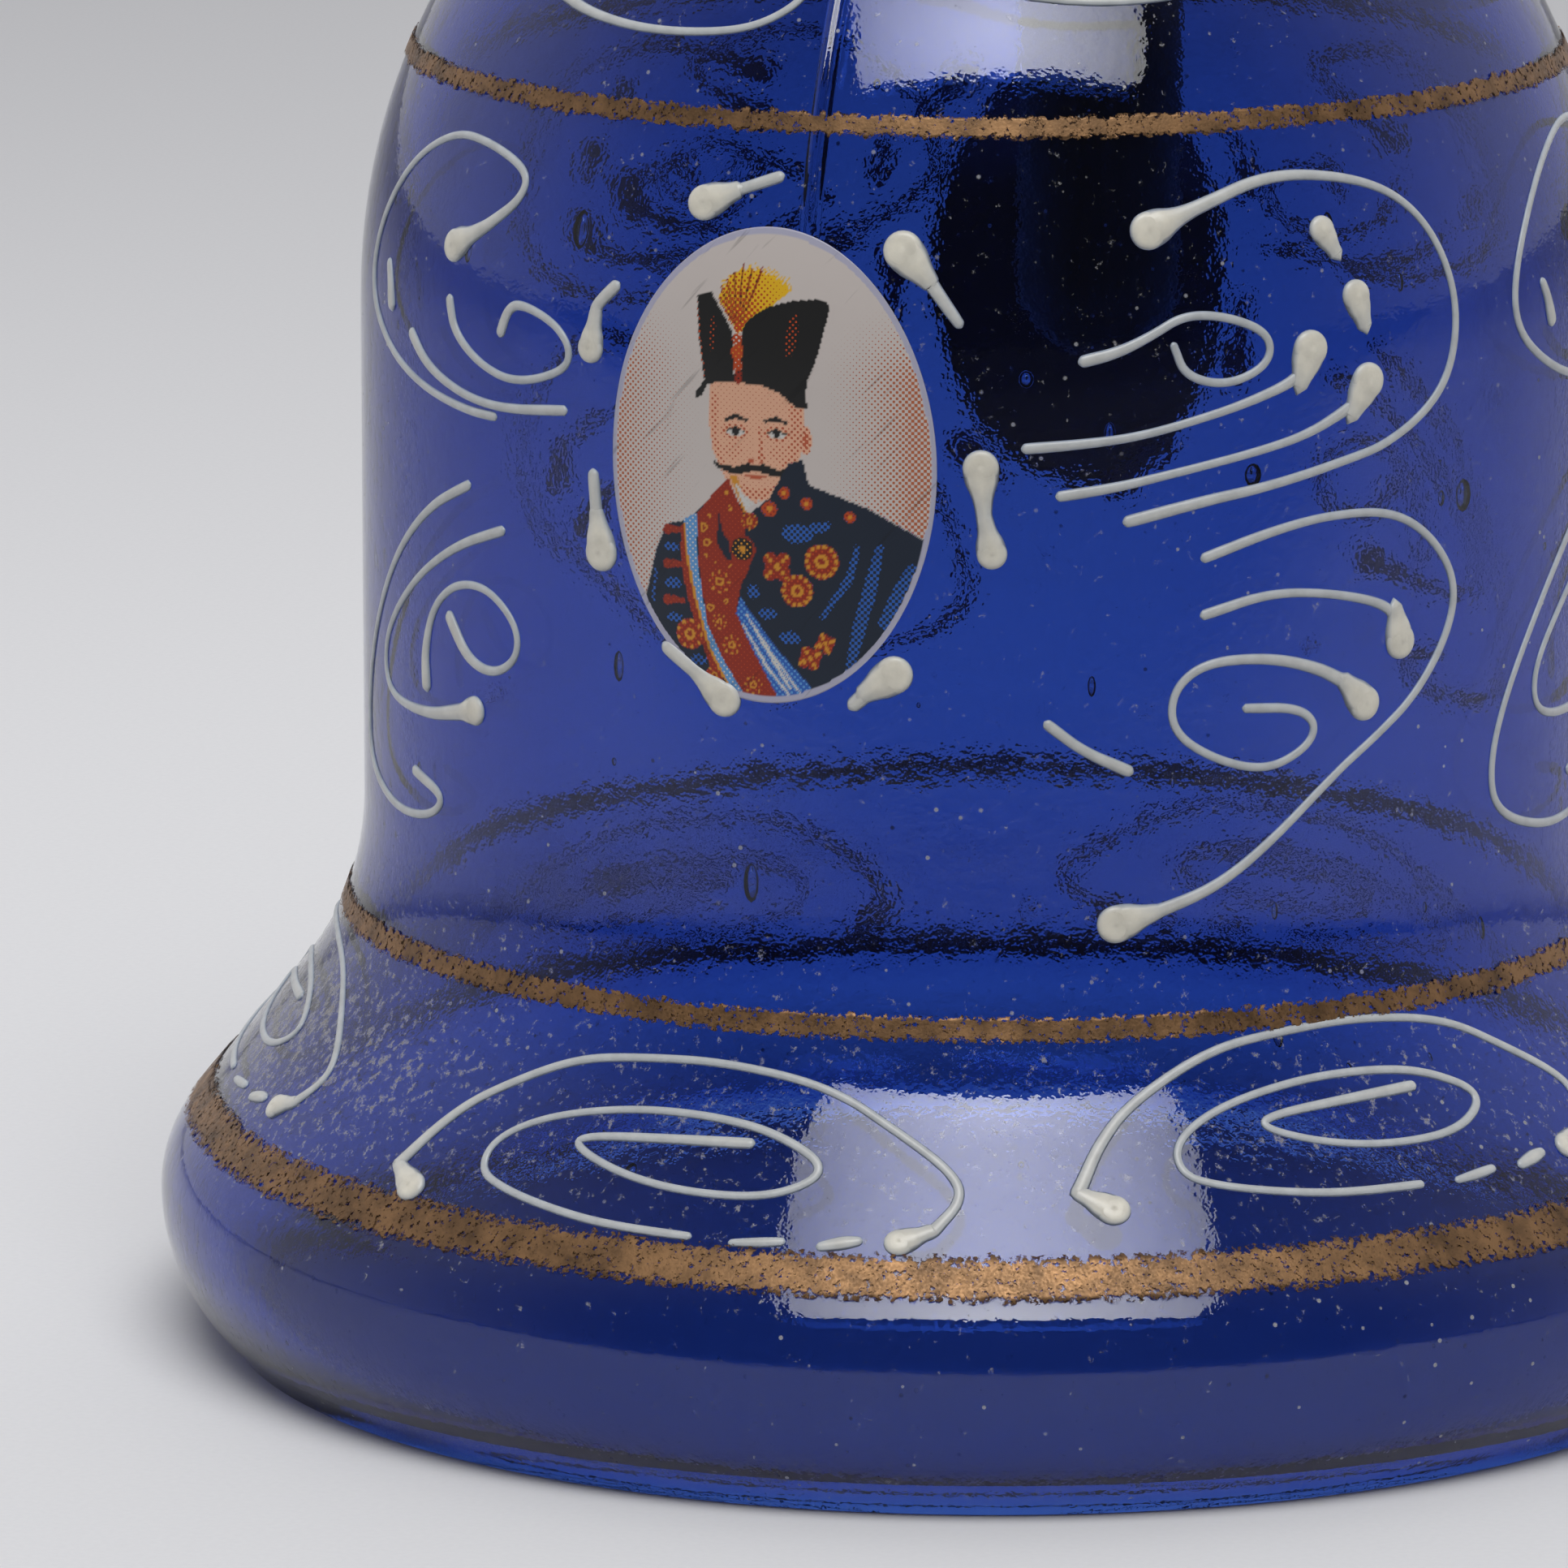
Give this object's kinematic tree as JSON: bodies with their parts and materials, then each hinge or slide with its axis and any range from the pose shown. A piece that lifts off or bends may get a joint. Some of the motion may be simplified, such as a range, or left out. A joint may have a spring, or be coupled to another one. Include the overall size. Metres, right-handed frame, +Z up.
{
  "type": "glass hand bell",
  "caption": "Cobalt blue blown glass hand bell with gilt bands, oval portraits, a glass handle on a brass ferrule and a wooden clapper hung from a link.",
  "frame": {"origin": "on the bell's axis, on the surface that its foot stands on", "axes": "+Z up along the bell's axis, -Y towards the front portrait, +X towards the side that the clapper hangs on"},
  "size_m": [0.0904, 0.0904, 0.1669],
  "materials": {
    "cobalt_glass": "clear, fire polished",
    "gilding": "worn burnished gilt",
    "ceramic_print": "fired print",
    "turned_brass": "satin, lightly tarnished",
    "washer_leather": "natural",
    "cork": "raw cork",
    "dark_hardwood": "waxed, nearly black"
  },
  "bodies": {
    "bell": {"bell_glass": "cobalt_glass", "handle_glass": "cobalt_glass", "gilt_rim_band": "gilding", "gilt_waist_band": "gilding", "gilt_upper_band": "gilding", "gilt_handle_bead": "gilding", "gilt_handle_knob": "gilding", "front_portrait": "ceramic_print", "back_portrait": "ceramic_print", "crown_washer_leather": "washer_leather", "crown_bush": "cork", "inner_washer_cork": "cork", "inner_washer_brass": "turned_brass", "stud_nut": "turned_brass", "handle_stud": "turned_brass", "handle_ferrule": "turned_brass", "clapper_hook": "turned_brass"},
    "link": {"clapper_link": "turned_brass"},
    "clapper": {"clapper_eye": "turned_brass", "clapper_rod": "dark_hardwood"}
  },
  "joints": [
    {"name": "link_swing", "type": "hinge", "parent": "bell", "child": "link", "pos_m": [0.0064, 0, 0.083], "axis": [1, 0, 0], "range_deg": [-38, 38]},
    {"name": "clapper_swing", "type": "hinge", "parent": "link", "child": "clapper", "pos_m": [0.0064, 0, 0.0793], "axis": [0, 1, 0], "range_deg": [-44, 60]}
  ]
}
